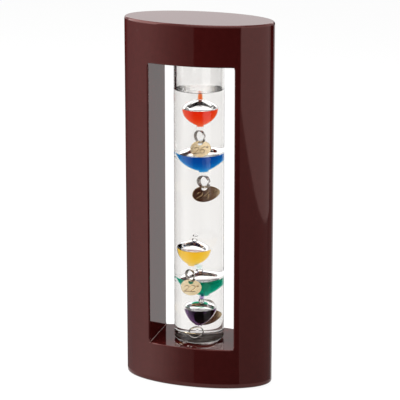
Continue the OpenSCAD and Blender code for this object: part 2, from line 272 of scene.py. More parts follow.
class Finish:
    """A material with one Principled shader, and short ways to add its patterns."""

    def __init__(self, name, colour, **plain):
        self.material = bpy.data.materials.new(name)
        self.material.use_nodes = True
        self.nodes = self.material.node_tree.nodes
        self.link = self.material.node_tree.links.new
        self.shader = self.nodes["Principled BSDF"]
        self.shader.inputs["Base Color"].default_value = (*colour, 1)
        for socket, value in plain.items():
            self.shader.inputs[socket.replace("_", " ")].default_value = value

    def effect(self, group, **values):
        """A shared effect, placed here with this material's own values."""
        node = self.nodes.new("ShaderNodeGroup")
        node.node_tree = group
        for socket, value in values.items():
            node.inputs[socket.replace("_", " ")].default_value = value
        return node

    def blend(self, mask, plain, marked):
        """A colour that goes from plain to marked with the mask."""
        mix = self.nodes.new("ShaderNodeMix")
        mix.data_type = "RGBA"
        mix.inputs["A"].default_value = (*plain, 1)
        mix.inputs["B"].default_value = (*marked, 1)
        self.link(mask, mix.inputs["Factor"])
        self.link(mix.outputs["Result"], self.shader.inputs["Base Color"])
        return self

    def rough(self, mask, low, high):
        """Roughness that goes from low to high with the mask."""
        span = self.nodes.new("ShaderNodeMapRange")
        span.inputs["To Min"].default_value = low
        span.inputs["To Max"].default_value = high
        self.link(mask, span.inputs["Value"])
        self.link(span.outputs["Result"], self.shader.inputs["Roughness"])
        return self

    def relief(self, height, depth):
        """Bumps of the given depth in metres."""
        bump = self.nodes.new("ShaderNodeBump")
        bump.inputs["Distance"].default_value = depth
        self.link(height, bump.inputs["Height"])
        self.link(bump.outputs["Normal"], self.shader.inputs["Normal"])
        return self

    def soak(self, colour, density):
        """Colour that deepens with the way the light takes through the piece."""
        inside = self.nodes.new("ShaderNodeVolumeAbsorption")
        inside.inputs["Color"].default_value = (*colour, 1)
        inside.inputs["Density"].default_value = density
        self.link(inside.outputs["Volume"], self.nodes["Material Output"].inputs["Volume"])
        return self


# finishes

def gloss_lacquer():
    """Dark red lacquer with slow waves and a few dust nibs."""
    made = Finish("gloss_lacquer", (0.07, 0.008, 0.0075), IOR=1.5, Specular_Tint=(1, 0.58, 0.54, 1))
    waves = made.effect(slow_waves, Waves_per_metre=260, Detail=1.5)
    nibs = made.effect(fine_specks, Specks_per_metre=420, Share=0.06)
    made.blend(waves.outputs["Mask"], (0.067, 0.0075, 0.007), (0.074, 0.0085, 0.008))
    made.rough(nibs.outputs["Mask"], 0.055, 0.25)
    return made.relief(waves.outputs["Height"], 0.003 * MM).material


def painted_seam_highlight():
    """Painted highlight along the joint: a pale colour that a mask breaks up with darker stretches.
    """
    made = Finish("painted_seam_highlight", (0.42, 0.28, 0.24))
    highlight_breaks = made.effect(slow_waves, Waves_per_metre=700, Detail=3)
    # painted highlight: the bead's pale colour stands in for the gleam along the joint
    made.blend(highlight_breaks.outputs["Mask"], (0.2, 0.08, 0.07), (0.55, 0.4, 0.35))
    return made.rough(highlight_breaks.outputs["Mask"], 0.25, 0.4).material


def plain_beech():
    """Bare wood of the dowels."""
    made = Finish("plain_beech", (0.55, 0.36, 0.19), Roughness=0.6)
    fibres = made.effect(fine_specks, Specks_per_metre=1600, Share=0.5)
    made.blend(fibres.outputs["Mask"], (0.55, 0.36, 0.19), (0.4, 0.23, 0.11))
    return made.relief(fibres.outputs["Height"], 0.05 * MM).material


def pressed_felt():
    """Black felt under the base."""
    made = Finish("pressed_felt", (0.012, 0.012, 0.013), Roughness=0.95, Sheen_Weight=0.4,
                  Sheen_Roughness=0.5)
    hairs = made.effect(fine_specks, Specks_per_metre=2600, Share=0.7)
    made.blend(hairs.outputs["Mask"], (0.01, 0.01, 0.011), (0.03, 0.03, 0.032))
    return made.relief(hairs.outputs["Height"], 0.15 * MM).material


def collar_foam():
    """Dark foam with open pores, painted darker in the pores as their shade."""
    made = Finish("collar_foam", (0.02, 0.02, 0.02), Roughness=0.85)
    shaded_pores = made.effect(fine_specks, Specks_per_metre=1400, Share=0.8)
    # painted shade: the pores are darker than the foam round them
    made.blend(shaded_pores.outputs["Mask"], (0.03, 0.03, 0.03), (0.008, 0.008, 0.008))
    return made.relief(shaded_pores.outputs["Mask"], -0.2 * MM).material


def milky_pad():
    """The pad as it looks through the foot of the tube."""
    made = Finish("milky_pad", (0.2, 0.17, 0.16), Specular_IOR_Level=0.0)
    waves = made.effect(slow_waves, Waves_per_metre=300, Detail=3)
    made.blend(waves.outputs["Mask"], (0.1, 0.08, 0.07), (0.26, 0.23, 0.22))
    return made.rough(waves.outputs["Mask"], 0.3, 0.5).material


def clear_glass(name, ior, colour=(1, 1, 1)):
    """Glass or liquid as one of its surfaces: ior is the inner refraction over the outer one."""
    made = Finish(name, colour, IOR=ior, Transmission_Weight=1.0)
    waves = made.effect(slow_waves, Waves_per_metre=90, Detail=1)
    return made.rough(waves.outputs["Mask"], 0.0, 0.012).material


def liquid_surface():
    """The liquid's level, with the small ripples that keep it from being seen as a mirror."""
    made = Finish("clear_liquid", (1, 1, 1), IOR=n_top, Transmission_Weight=1.0)
    ripples = made.effect(slow_waves, Waves_per_metre=1700, Detail=2)
    made.rough(ripples.outputs["Mask"], 0.0, 0.03)
    return made.relief(ripples.outputs["Height"], 0.3 * MM).material


def dye(name, colour, soaked, density, ior):
    """Coloured liquid: a tint at its surface, and a colour that deepens inside."""
    made = Finish(name, colour, IOR=ior, Transmission_Weight=1.0)
    waves = made.effect(slow_waves, Waves_per_metre=300, Detail=1)
    made.rough(waves.outputs["Mask"], 0.0, 0.02)
    return made.soak(soaked, density).material


def ring_nickel():
    """Plated wire with small scuffs."""
    made = Finish("ring_nickel", (0.5, 0.49, 0.47), Metallic=1.0)
    scuffs = made.effect(fine_specks, Specks_per_metre=2400, Share=0.35)
    made.blend(scuffs.outputs["Mask"], (0.6, 0.58, 0.55), (0.34, 0.3, 0.24))
    made.rough(scuffs.outputs["Mask"], 0.07, 0.3)
    return made.relief(scuffs.outputs["Height"], 0.002 * MM).material


def tag_brass():
    """Rolled brass with a light tarnish."""
    made = Finish("tag_brass", (0.8, 0.62, 0.34), Metallic=1.0)
    tarnish = made.effect(slow_waves, Waves_per_metre=500, Detail=4, Swirl=1.2)
    grit = made.effect(fine_specks, Specks_per_metre=3600, Share=0.4)
    made.blend(tarnish.outputs["Mask"], (0.86, 0.72, 0.48), (0.78, 0.62, 0.37))
    made.rough(grit.outputs["Mask"], 0.24, 0.34)
    return made.relief(grit.outputs["Height"], 0.002 * MM).material


def numeral_groove():
    """The darker brass in the engraved strokes."""
    made = Finish("numeral_groove", (0.44, 0.31, 0.16), Metallic=1.0)
    grit = made.effect(fine_specks, Specks_per_metre=4000, Share=0.5)
    made.blend(grit.outputs["Mask"], (0.47, 0.34, 0.18), (0.33, 0.22, 0.11))
    return made.rough(grit.outputs["Mask"], 0.25, 0.4).material


lacquer = gloss_lacquer()
glass_air = clear_glass("tube_glass", n_glass, tube_tint)
glass_dry = clear_glass("tube_glass_dry", n_glass)
glass_foot = clear_glass("tube_glass_foot", 1.0)
glass_liquid = clear_glass("tube_glass_wet", n_glass / n_liquid)
liquid_top = liquid_surface()
liquid_side = clear_glass("clear_liquid_side", 1.0)
float_outer = clear_glass("float_glass", n_glass / n_liquid)
float_dry = clear_glass("float_glass_dry", n_glass)
float_wet = clear_glass("float_glass_wet", n_glass / n_dye)
brass = tag_brass()
groove = numeral_groove()
nickel = ring_nickel()

# each dye: the tint of its first layer, the soaked colour and density per metre in the bulb,
# and those of the drop that stays in the neck
DYES = {
    "orange": ((0.9, 0.2, 0.09), ((0.98, 0.4, 0.04), 220.0), ((0.96, 0.45, 0.05), 1500.0)),
    "blue": ((0.03, 0.39, 0.72), ((0.05, 0.6, 0.84), 320.0), ((0.1, 0.5, 0.7), 40.0)),
    "yellow": ((0.97, 0.72, 0.34), ((0.99, 0.9, 0.1), 190.0), ((0.9, 0.9, 0.9), 60.0)),
    "green": ((0.02, 0.46, 0.33), ((0.05, 0.8, 0.74), 340.0), ((0.05, 0.7, 0.65), 150.0)),
    "purple": ((0.27, 0.13, 0.32), ((0.35, 0.3, 0.38), 260.0), ((0.45, 0.3, 0.6), 900.0)),
}


# forms

def smooth_step(x):
    """Rises from 0 to 1 with soft ends."""
    x = min(1.0, max(0.0, x))
    return x * x * (3 - 2 * x)


def bend(x, y, rx, ry, start, end, steps):
    """Points of an arc between two angles in degrees."""
    turn = [math.radians(start + (end - start) * i / steps) for i in range(steps + 1)]
    return [(x + rx * math.cos(a), y + ry * math.sin(a)) for a in turn]


def skin(form, rows, closed=False):
    """Faces between neighbouring rows of corners, where a row of one corner is a point."""
    pairs = list(zip(rows, rows[1:]))
    if closed:
        pairs.append((rows[-1], rows[0]))
    for low, high in pairs:
        for i in range(max(len(low), len(high))):
            j = i + 1
            corners = (low[i % len(low)], low[j % len(low)],
                       high[j % len(high)], high[i % len(high)])
            corners = list(dict.fromkeys(corners))
            if len(corners) > 2:
                form.faces.new(corners)


def outward(form):
    """The form with its faces turned outward."""
    bmesh.ops.recalc_face_normals(form, faces=form.faces)
    return form


def turned(outline, steps=disc_steps):
    """An outline of radius and height, turned about Z; on the axis it has one corner."""
    form = bmesh.new()
    rows = []
    for radius, height in outline:
        count = steps if radius > axis_near else 1
        rows.append([form.verts.new((radius * math.cos(math.tau * i / steps),
                                     radius * math.sin(math.tau * i / steps), height))
                     for i in range(count)])
    skin(form, rows)
    return outward(form)


def wound(radius, section, angles, shift=None):
    """A section of outward and upward offsets, carried round Z. Without a shift it closes."""
    form = bmesh.new()
    rows = [[form.verts.new(((radius + u) * math.cos(a), (radius + u) * math.sin(a),
                             v + (shift(a) if shift else 0.0))) for u, v in section]
            for a in angles]
    skin(form, rows, closed=shift is None)
    if shift:
        cap_ends(form, rows)
    return outward(form)


def cap_ends(form, rows):
    """Closes the first and the last row with a face each."""
    form.faces.new(rows[0])
    form.faces.new(rows[-1])


def round_bore(radius, deep, steps, x, y, z):
    """A knife for a bore that goes as deep below a place as above it."""
    line = [(0.0, -deep), (radius, -deep), (radius, deep), (0.0, deep)]
    return moved(turned(line, steps), Matrix.Translation((x, y, z))), 0, False


def disc_line(radius, low, high, soft, steps):
    """Outline of a flat disc with a softened edge, from the middle of its underside."""
    line = [(0.0, low), (radius - 3 * soft, low)]
    line += bend(radius - soft, low + soft, soft, soft, -90, 0, steps)
    line += bend(radius - soft, high - soft, soft, soft, 0, 90, steps)
    return line + [(radius - 3 * soft, high), (0.0, high)]


def moved(form, place):
    """The form carried to a place."""
    form.transform(place)
    return form


def whole(parts):
    """One form from several, each with its material number and, for a hollow, turned inside out."""
    form = bmesh.new()
    for part, number, hollow in parts:
        if hollow:
            bmesh.ops.reverse_faces(part, faces=part.faces)
        for face in part.faces:
            face.material_index = number(face) if callable(number) else number
        mesh = bpy.data.meshes.new("part")
        part.to_mesh(mesh)
        part.free()
        form.from_mesh(mesh)
        bpy.data.meshes.remove(mesh)
    return form


def new_object(name, data):
    """An object in the scene with the given data."""
    made = bpy.data.objects.new(name, data)
    bpy.context.scene.collection.objects.link(made)
    return made


def piece(name, form, materials, body, node=None, crease=32):
    """A smooth object from a form, sharp where its faces turn by more than the crease."""
    for face in form.faces:
        face.smooth = True
    for edge in form.edges:
        edge.smooth = len(edge.link_faces) == 2 and edge.calc_face_angle() < math.radians(crease)
    mesh = bpy.data.meshes.new(name)
    form.to_mesh(mesh)
    form.free()
    for material in materials:
        mesh.materials.append(material)
    made = new_object(name, mesh)
    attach(made, body)
    if node:
        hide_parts(node)


def carved(form, knives):
    """The form less the knives, whose faces keep their own material number.

    For that each of the two has both materials.
    """
    tools = []
    for part in (form, knives):
        mesh = bpy.data.meshes.new("carving")
        part.to_mesh(mesh)
        part.free()
        mesh.materials.append(lacquer)
        mesh.materials.append(brass)
        tools.append(new_object("carving", mesh))
    cut = tools[0].modifiers.new("cut", "BOOLEAN")
    cut.operation, cut.solver, cut.object, cut.use_self = "DIFFERENCE", "EXACT", tools[1], True
    bpy.context.view_layer.update()
    graph = bpy.context.evaluated_depsgraph_get()
    result = bpy.data.meshes.new_from_object(tools[0].evaluated_get(graph))
    form = bmesh.new()
    form.from_mesh(result)
    for tool in tools:
        mesh = tool.data
        bpy.data.objects.remove(tool)
        bpy.data.meshes.remove(mesh)
    bpy.data.meshes.remove(result)
    bmesh.ops.remove_doubles(form, verts=form.verts, dist=merge / 2)
    return form


# wooden frame

def oval_turns():
    """Angles round the oval, with the window's corners among them."""
    marks = [(-corner_turn, corner_turn, end_steps),
             (corner_turn, math.pi - corner_turn, face_steps),
             (math.pi - corner_turn, math.pi + corner_turn, end_steps),
             (math.pi + corner_turn, math.tau - corner_turn, face_steps)]
    return [start + (end - start) * i / count for start, end, count in marks for i in range(count)]


def window_soft(turn):
    """Rounding of the window's long edges, which runs out towards the corners."""
    return window_round * smooth_step((window - abs(half_w * math.cos(turn))) / corner_run)


def oval_block(low, high, low_round, high_round):
    """A block of the oval, with the rounding of its lower and upper edge at each angle."""
    form = bmesh.new()
    columns = []
    quarter = [math.radians(90 * i / rim_steps) for i in range(rim_steps + 1)]
    for turn in oval_turns():
        below, above = low_round(turn), high_round(turn)
        line = [(below + support, low)]
        line += [(below - below * math.sin(a), low + below - below * math.cos(a)) for a in quarter]
        line += [(0.0, low + below + support), (0.0, high - above - support)]
        line += [(above - above * math.cos(a), high - above + above * math.sin(a)) for a in quarter]
        line.append((above + support, high))
        columns.append([form.verts.new(((half_w - inset) * math.cos(turn),
                                        (half_d - inset * half_d / half_w) * math.sin(turn), z))
                        for inset, z in line])
    for one, other in zip(columns, columns[1:] + columns[:1]):
        for i in range(len(one) - 1):
            form.faces.new((one[i], other[i], other[i + 1], one[i + 1]))
    form.faces.new([column[0] for column in columns])
    form.faces.new([column[-1] for column in columns])
    bmesh.ops.remove_doubles(form, verts=form.verts, dist=merge)
    return outward(form)


def oval_normal(turn):
    """Direction square to the oval at an angle, not of length 1."""
    return math.cos(turn) / half_w, math.sin(turn) / half_d


def post_outline(soft):
    """Plan of the right post: the oval's end, and a wall towards the window with softened edges."""
    turn = corner_turn
    halvings, edge_steps = 40, 8
    if soft > 0:
        low, high = 0.0, corner_turn
        for _ in range(halvings):
            turn = (low + high) / 2
            nx, ny = oval_normal(turn)
            reach = half_w * math.cos(turn) - soft * nx / math.hypot(nx, ny)
            low, high = (turn, high) if reach > window + soft else (low, turn)
    nx, ny = oval_normal(turn)
    tilt = math.atan2(ny, nx)
    cx = half_w * math.cos(turn) - soft * math.cos(tilt)
    cy = half_d * math.sin(turn) - soft * math.sin(tilt)
    arc = [(half_w * math.cos(a), half_d * math.sin(a))
           for a in (-turn + 2 * turn * i / end_steps for i in range(end_steps + 1))]
    back = [(cx + soft * math.cos(a), cy + soft * math.sin(a))
            for a in (tilt + (math.pi - tilt) * i / edge_steps for i in range(1, edge_steps + 1))]
    wall = [(cx - soft, cy - support), (cx - soft, 0.0), (cx - soft, support - cy)]
    front = [(x, -y) for x, y in reversed(back)]
    return arc + back + wall + front


def post_block(side):
    """The right post, or with side -1 the left one."""
    form = bmesh.new()
    rows = []
    runs = [corner_run * i / run_steps for i in range(run_steps + 1)] + [corner_run + support]
    for z in [sill_z + run for run in runs] + [head_z - run for run in reversed(runs)]:
        soft = window_round * smooth_step(min(z - sill_z, head_z - z) / corner_run)
        rows.append([form.verts.new((side * x, y, z)) for x, y in post_outline(soft)])
    skin(form, rows)
    cap_ends(form, rows)
    bmesh.ops.remove_doubles(form, verts=form.verts, dist=merge)
    return outward(form)


def dowel_bores(z):
    """Bores on both sides of the joints at height z."""
    return [round_bore(dowel_r, dowel_deep, dowel_steps, x, y, z)
            for x in (-dowel_x, dowel_x) for y in (-dowel_y, dowel_y)]


def rim_soft(turn):
    """Rounding of the outer rims, the same all round."""
    return rim_round


def build_wood():
    """The four blocks of the frame, with their bores."""
    base = carved(oval_block(foot_z, sill_z, rim_soft, window_soft), whole(dowel_bores(sill_z)))
    piece("base_wood", base, [lacquer], "frame", "base_block")
    bores = dowel_bores(head_z) + [round_bore(bore_r, bore_deep, bore_steps, 0, 0, head_z)]
    top = carved(oval_block(head_z, top_z, window_soft, rim_soft), whole(bores))
    piece("top_wood", top, [lacquer], "frame", "top_block")
    for side, name in ((-1, "left_post"), (1, "right_post")):
        post = carved(post_block(side), whole(dowel_bores(sill_z) + dowel_bores(head_z)))
        piece(name + "_wood", post, [lacquer], "frame", name)


def build_seam():
    """A fine pale bead where the left post meets the sill, whose colour is a painted highlight
    along the joint.
    """
    deep = half_d * math.sin(corner_turn) - bead_short
    form = bmesh.new()
    rows = []
    sides = [math.radians(360 * k / bead_sides) for k in range(bead_sides)]
    for y in (-deep + 2 * deep * i / bead_steps for i in range(bead_steps + 1)):
        size = bead_r * (1 + bead_waver * math.sin(y * bead_waves))
        rows.append([form.verts.new((size * math.cos(a) - window, y, sill_z + size * math.sin(a)))
                     for a in sides])
    skin(form, rows)
    cap_ends(form, rows)
    piece("left_post_seam", outward(form), [painted_seam_highlight()], "frame",
          crease=60)


# glass tube and liquid

def tube_outline(inset, floor):
    """The tube's outer line, or its inner one when drawn in by the wall."""
    radius, heel = tube_r - inset, heel_r - inset / 2
    crown = tube_dome - inset
    steps, crown_end = 12, 75
    line = [(0.0, tube_foot + floor), (radius - heel - support, tube_foot + floor)]
    line += bend(radius - heel, tube_foot + floor + heel, heel, heel, -90, 0, steps)
    line += [(radius, tube_foot + floor + heel + support)]
    line += [(radius, shoulder_z - support)]
    return line + bend(0.0, shoulder_z, radius, crown, 0, crown_end, steps)


def face_height(face):
    """Height of the middle of a face."""
    return face.calc_center_median().z


def build_tube():
    """The sealed tube, whose surfaces know whether they meet air, liquid or the pad."""
    outer = tube_outline(0.0, 0.0)
    outer += bend(0.0, tube_top - nipple_h / 2, nipple_r, nipple_h / 2, 0, 90, nipple_steps)[:-1]
    outer.append((0.0, tube_top))
    inner = tube_outline(tube_wall, tube_floor) + [(0.0, shoulder_z + tube_dome - tube_wall)]
    split = next(i for i, (r, z) in enumerate(inner) if z > wet_z)
    inner.insert(split, (tube_inner, wet_z))

    def wetted(face):
        return 1 if face_height(face) < wet_z else 2

    def standing(face):
        return 3 if face_height(face) < tube_foot + level_slack else 0

    form = whole([(turned(outer, tube_steps), standing, False),
                  (turned(inner, tube_steps), wetted, True)])
    piece("tube_body", form, [glass_air, glass_liquid, glass_dry, glass_foot], "frame",
          "glass_tube")


def build_pad():
    """The pad that the tube stands on."""
    low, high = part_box("tube_pad")
    line = disc_line(high.x, low.z, tube_foot - film, pad_soft, pad_steps)
    piece("tube_pad_disc", turned(line), [milky_pad()], "frame", "tube_pad")


def build_liquid():
    """The liquid up to its level, with the creep at the wall."""
    side = [(r - film if r else 0.0, z + (film if r < tube_inner - heel_r else 0.0))
            for r, z in tube_outline(tube_wall, tube_floor) if z < liquid_z]
    radius = tube_inner - film
    surface = [(radius - run, liquid_z + creep * math.exp(-run / creep_run))
               for run in (radius * (i / surface_steps) ** 2 for i in range(surface_steps + 1))]
    form = turned(side + surface[:-1] + [(0.0, liquid_z)], tube_steps)

    def surfaced(face):
        high = face_height(face) > liquid_z - level_slack
        return 0 if high and face.normal.z > liquid_facing else 1

    piece("tube_liquid", whole([(form, surfaced, False)]), [liquid_top, liquid_side], "frame",
          crease=60)


# floats

def curved(way, radius, height, powers):
    """Radius of a bowl or dome at a way from its widest line."""
    return radius * (1 - min(1.0, way / height) ** powers[0]) ** powers[1]


def sine_steps(count):
    """Shares from 0 to 1 that close up towards 1, where a curve turns in."""
    return [math.sin(math.pi / 2 * i / count) for i in range(count + 1)]


def neck_at(z, inset):
    """Radius of the neck, which narrows a little towards its tip."""
    return (neck_r - inset) * (1 - neck_taper * max(0.0, z - neck_foot) / (tip_z - neck_foot))


def float_line(number, inset):
    """Bowl with a small flat foot, dome and drawn-out neck, drawn in by an inset."""
    bowl, (height, *dome) = FLOATS[number]["bowl"], FLOATS[number]["dome"]
    radius = bulb_r * FLOATS[number]["blown"] - inset
    deep, high = bowl_h - 2 * inset, height * MM - inset
    line = [(0.0, -deep)]
    line += [(max(foot_r - inset, curved(deep * s, radius, deep, bowl)), -deep * s)
             for s in reversed(sine_steps(bowl_steps))]
    for z in (high * s for s in sine_steps(dome_steps)[1:]):
        both = curved(z, radius, high, dome) ** neck_blend + neck_at(z, inset) ** neck_blend
        line.append((both ** (1 / neck_blend), z))
    tip = tip_z - inset
    round_z = tip - tip_share * neck_r
    line += [(neck_at(z, inset), z) for z in (high + neck_start, (high + round_z) / 2, round_z)]
    line += bend(0.0, round_z, neck_at(round_z, inset), tip - round_z, 0, 90, tip_steps)[1:-1]
    return line + [(0.0, tip)]


def rim_at(number):
    """Middle of a float's widest line."""
    x, y, z = FLOATS[number]["spot"]
    return Vector((x * bulb_room, y * bulb_room, z * MM))


def float_place(number):
    """Where a float hangs, with its lean."""
    lean = math.radians(FLOATS[number]["hang"][0])
    return (Matrix.Translation(rim_at(number)) @ Matrix.Rotation(lean_way, 4, "Z")
            @ Matrix.Rotation(lean, 4, "Y"))


def fill_height(number):
    """Level of a float's dye."""
    return rim_at(number).z - fill_drop


def cut_level(form, height, keep_below=False):
    """Cuts the form along a level plane, and drops what is above it with keep_below."""
    bmesh.ops.bisect_plane(form, geom=form.verts[:] + form.edges[:] + form.faces[:],
                           dist=cut_near, plane_co=(0, 0, height), plane_no=(0, 0, 1),
                           clear_outer=keep_below)
    return form


def hook_form(number):
    """A closed loop of glass rod, square to the ring that hangs in it."""
    section = bend(0.0, 0.0, hook_rod, hook_rod, 0, 360 - 360 / rod_sides, rod_sides - 1)
    angles = [math.tau * i / loop_steps for i in range(loop_steps)]
    loop = wound(hook_hole + hook_rod, section, angles)
    turn = math.radians(FLOATS[number]["hang"][1]) - lean_way
    return moved(loop, float_place(number) @ Matrix.Rotation(turn, 4, "Z")
                 @ Matrix.Translation((0, 0, hook_z)) @ Matrix.Rotation(math.pi / 2, 4, "Y"))


def neck_marks(number):
    """Lower and upper end of the dye in a float's neck."""
    low, high = FLOATS[number]["neck_dye"]
    return low * MM, high * MM


def build_bulb(number):
    """Glass with a hollow whose surface knows where it meets air and where it meets dye."""
    place = float_place(number)
    back = place.inverted()
    edge = fill_height(number) + fill_creep
    low, high = neck_marks(number)
    room = turned(float_line(number, bulb_wall))
    for height in (low, high):
        cut_level(room, height)
    cut_level(moved(room, place), edge)

    def wetted(face):
        middle = face.calc_center_median()
        return 2 if middle.z < edge or low < (back @ middle).z < high else 1

    parts = [(moved(turned(float_line(number, 0.0)), place), 0, False), (room, wetted, True),
             (hook_form(number), 0, False)]
    piece("bulb_%s_glass" % number, whole(parts), [float_outer, float_dry, float_wet],
          "float_" + number, "bulb_" + number, crease=50)


def rim_loop(form):
    """The corners along the open edge of a form, in order."""
    edges = [edge for edge in form.edges if len(edge.link_faces) == 1]
    loop = [edges[0].verts[0], edges[0].verts[1]]
    left = set(edges[1:])
    while left:
        step = next((e for e in loop[-1].link_edges if e in left), None)
        if step is None:
            break
        left.discard(step)
        if step.other_vert(loop[-1]) is loop[0]:
            break
        loop.append(step.other_vert(loop[-1]))
    return loop


def build_fill(number):
    """Dye that stands level in its bulb and creeps up a little at the glass."""
    level = fill_height(number)
    outline = float_line(number, bulb_wall + fill_gap)
    form = cut_level(moved(turned(outline), float_place(number)), level + fill_creep, True)
    rim = rim_loop(form)
    middle = sum((corner.co for corner in rim), Vector()) / len(rim)
    middle.z = level
    rows = [rim]
    for share in creep_shares:
        rise = fill_creep * math.exp(-(1 - share) * bulb_r / fill_run)
        rows.append([form.verts.new((middle.x + (corner.co.x - middle.x) * share,
                                     middle.y + (corner.co.y - middle.y) * share, level + rise))
                     for corner in rim])
    rows.append([form.verts.new(middle)])
    skin(form, rows)
    outward(form)

    def surfaced(face):
        high = face_height(face) > level - level_slack
        return 0 if high and face.normal.z > dye_facing else 1

    kind = FLOATS[number]["dye"]
    tint, soaked, neck_soaked = DYES[kind]
    materials = [dye(kind + "_dye_surface", tint, *soaked, n_dye),
                 dye(kind + "_dye", tint, *soaked, 1.0),
                 dye(kind + "_drop_surface", (1, 1, 1), *neck_soaked, n_dye),
                 dye(kind + "_drop", (1, 1, 1), *neck_soaked, 1.0)]
    drop, ends = neck_drop(number)
    piece("fill_%s_dye" % number, whole([(form, surfaced, False), (drop, ends, False)]), materials,
          "float_" + number, "fill_" + number, crease=60)


def radius_at(line, z):
    """Radius of an outline at a height."""
    for (r0, z0), (r1, z1) in zip(line, line[1:]):
        if z0 <= z <= z1 and z1 > z0:
            return r0 + (r1 - r0) * (z - z0) / (z1 - z0)


def neck_drop(number):
    """The dye that stays in the neck, with a hollow lower end and, in air, a hollow upper one."""
    low, high = neck_marks(number)
    line = float_line(number, bulb_wall + fill_gap)
    free = high < tip_z - neck_r
    last_z = high if free else line[-1][1]
    side = [(radius_at(line, low), low)]
    side += [(r, z) for r, z in line if low + drop_above < z < last_z - drop_below]
    side.append((radius_at(line, high), high) if free else (0.0, last_z))
    lens = [(share, drop_sag * (1 - share ** 2)) for share in drop_shares]
    below = [(side[0][0] * share, low + lift) for share, lift in lens]
    above = [(side[-1][0] * share, high - lift) for share, lift in reversed(lens)] if free else []
    form = turned(below + side + above, small_steps)
    form.faces.index_update()
    form.normal_update()
    ends = set()
    for face in form.faces:
        lower = face_height(face) < low + drop_sag and face.normal.z < -drop_facing
        upper = free and face_height(face) > high - drop_sag and face.normal.z > drop_facing
        if lower or upper:
            ends.add(face.index)
    moved(form, float_place(number))
    return form, lambda face: 2 if face.index in ends else 3


# rings and tags

def ring_place(number):
    """Middle of a ring that hangs in its hook."""
    lean, turn, swing, rise = FLOATS[number]["hang"]
    hook = float_place(number) @ Vector((0, 0, hook_z))
    return (Matrix.Translation(hook) @ Matrix.Rotation(math.radians(turn), 4, "Z")
            @ Matrix.Rotation(math.radians(swing), 4, "X")
            @ Matrix.Translation((0, 0, rise * MM - ring_fall)))


def build_ring(number):
    """Two turns of flat wire that cross over at one side, where the two ends stop short."""
    flat_u, flat_v = ring_wire / 2 - ring_corner, ring_turn / 2 - ring_corner
    section = []
    for x, y, start in ((1, -1, -90), (1, 1, 0), (-1, 1, 90), (-1, -1, 180)):
        section += bend(x * flat_u, y * flat_v, ring_corner, ring_corner, start, start + 90,
                        corner_steps)
    begin, end = math.radians(wire_start), math.tau + math.radians(wire_end)
    angles = [begin + (end - begin) * i / wire_steps for i in range(wire_steps + 1)]

    def crossing(a):
        return ring_step * (0.5 - smooth_step((math.degrees(a) - cross_start) / cross_run))

    form = wound(ring_r, section, angles, crossing)
    moved(form, ring_place(number) @ Matrix.Rotation(math.pi / 2, 4, "X"))
    piece("ring_%s_wire" % number, form, [nickel], "ring_" + number, "ring_" + number,
          crease=50)


# strokes of the numerals, in heights of a numeral
STROKES = {
    "0": [bend(0.3, 0.5, 0.26, 0.5, 90, 450, 22)],
    "1": [[(0.1, 0.76), (0.36, 1.0)], [(0.36, 1.0), (0.36, 0.0)]],
    "2": [bend(0.3, 0.72, 0.27, 0.27, 165, -38, 12), [(0.51, 0.55), (0.03, 0.03)],
          [(0.0, 0.03), (0.6, 0.03)]],
    "4": [[(0.42, 1.0), (0.0, 0.32)], [(0.0, 0.32), (0.64, 0.32)], [(0.46, 0.6), (0.42, -0.04)]],
    "6": [bend(0.6, 0.3, 0.58, 0.7, 96, 178, 10), bend(0.3, 0.3, 0.28, 0.29, 0, 360, 18)],
    "8": [bend(0.3, 0.74, 0.22, 0.25, 0, 360, 16), bend(0.3, 0.24, 0.28, 0.25, 0, 360, 18)],
    "degree": [bend(0.1, 0.9, 0.09, 0.09, 0, 360, 10)],
}
numeral_h, numeral_step, numeral_slant = 3.9 * MM, 0.74, 0.1
numeral_left, numeral_low = 0.84, 0.68
groove_half, groove_deep = 0.19 * MM, 0.14 * MM


def stroke_knife(points, face_z):
    """A sharp-edged bar along a stroke, half above the face and half below it."""
    closed = math.dist(points[0], points[-1]) < ends_near
    if closed:
        points = points[:-1]
    form = bmesh.new()
    rows = []
    for i, point in enumerate(points):
        before = points[i - 1] if closed or i else point
        after = points[(i + 1) % len(points)] if closed or i < len(points) - 1 else point
        way = Vector((after[0] - before[0], after[1] - before[1], 0)).normalized()
        across = Vector((-way.y, way.x, 0)) * groove_half
        if not closed and i in (0, len(points) - 1):
            point = Vector(point) + way.xy * groove_half * (1 if i else -1)
        at = Vector((point[0], point[1], face_z))
        rows.append([form.verts.new(at + offset) for offset in
                     (across, Vector((0, 0, groove_deep)), -across, Vector((0, 0, -groove_deep)))])
    skin(form, rows, closed)
    if not closed:
        cap_ends(form, rows)
    return outward(form), 1, False


def numeral_knives(number):
    """Grooves of the number and its degree mark on the tag's front."""
    knives = []
    for place, sign in enumerate(list(number) + ["degree"]):
        for stroke in STROKES[sign]:
            line = [(numeral_h * (place * numeral_step + x + numeral_slant * y - numeral_left),
                     numeral_h * (y - numeral_low)) for x, y in stroke]
            knives.append(stroke_knife(line, tag_t / 2))
    return knives


def tag_place(number):
    """The tag's hole on the ring's wire, and the tag's own turn about it."""
    turn, flat, round_ring = (math.radians(a) for a in FLOATS[number]["lie"])
    on_ring = Vector((ring_r * math.sin(round_ring), 0, -ring_r * math.cos(round_ring)))
    wire = ring_place(number) @ on_ring
    wire.z -= tag_sag * math.cos(flat)
    return (Matrix.Translation(wire) @ Matrix.Rotation(turn, 4, "Z") @ Matrix.Rotation(flat, 4, "X")
            @ Matrix.Rotation(math.pi / 2, 4, "X") @ Matrix.Translation((0, -tag_hole_y, 0)))


def build_tag(number):
    """A brass disc with its hole and numerals."""
    line = disc_line(tag_r, -tag_t / 2, tag_t / 2, tag_soft, tag_steps)
    knives = [round_bore(tag_hole, tag_t, small_steps, 0, tag_hole_y, 0)] + numeral_knives(number)
    form = moved(carved(turned(line), whole(knives)), tag_place(number))
    piece("tag_%s_brass" % number, form, [brass, groove], "tag_" + number, "tag_" + number,
          crease=18)


# stage, light and camera

